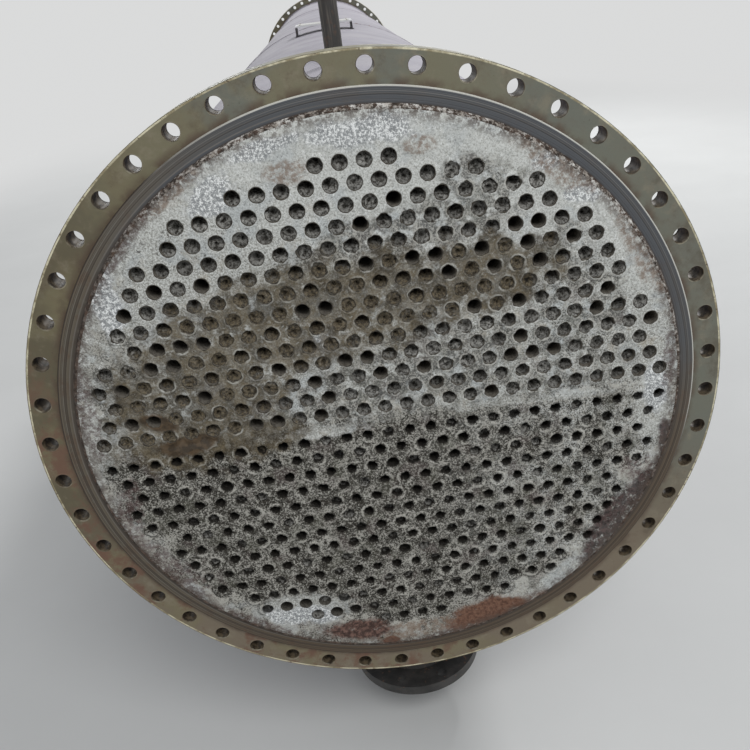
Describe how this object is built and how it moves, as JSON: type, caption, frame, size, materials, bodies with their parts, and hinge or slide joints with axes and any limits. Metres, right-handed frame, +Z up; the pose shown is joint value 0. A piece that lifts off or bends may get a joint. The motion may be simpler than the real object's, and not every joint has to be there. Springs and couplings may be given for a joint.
{
  "type": "shell and tube heat exchanger",
  "caption": "Horizontal shell and tube heat exchanger on two saddles, its end channels removed so both tubesheets show",
  "frame": {"origin": "on the floor, under the middle of the shell, halfway between the two tubesheets", "axes": "+Z up, +Y along the shell from the front tubesheet to the rear one, +X to the right seen from the front"},
  "size_m": [1.0299, 6, 1.4],
  "materials": {
    "tubesheet": "worn olive-brown paint on the rim, scaled and rusted bare steel in the tube field",
    "tubes": "scaled tube ends",
    "shell": "matt lavender-grey primer, dusty",
    "weld": "painted weld beads",
    "nozzle": "near-black paint, chipped",
    "vent": "dark mill scale",
    "gasket": "black fibre gasket",
    "bracket": "painted sheet",
    "plate": "blank satin sheet",
    "saddle": "matt lavender-grey primer, dusty"
  },
  "bodies": {
    "root": {"front_tubesheet": "tubesheet", "rear_tubesheet": "tubesheet", "tubes_upper_pass": "tubes", "tubes_lower_pass": "tubes", "shell_front_course": "shell", "shell_middle_course": "shell", "shell_rear_course": "shell", "girth_welds": "weld", "seam_welds": "weld", "front_end_weld": "weld", "rear_end_weld": "weld", "front_nozzle_neck": "nozzle", "front_nozzle_pad": "shell", "front_nozzle_flange": "nozzle", "rear_nozzle_neck": "nozzle", "rear_nozzle_pad": "shell", "rear_nozzle_flange": "nozzle", "vent_pipe": "vent", "vent_weld": "vent", "vent_flange": "vent", "vent_gasket": "gasket", "vent_blind": "vent", "nameplate_bracket": "bracket", "nameplate": "plate", "front_saddle_pad": "saddle", "front_saddle_web": "saddle", "front_saddle_ribs": "saddle", "front_saddle_base": "saddle", "rear_saddle_pad": "saddle", "rear_saddle_web": "saddle", "rear_saddle_ribs": "saddle", "rear_saddle_base": "saddle"}
  },
  "joints": []
}
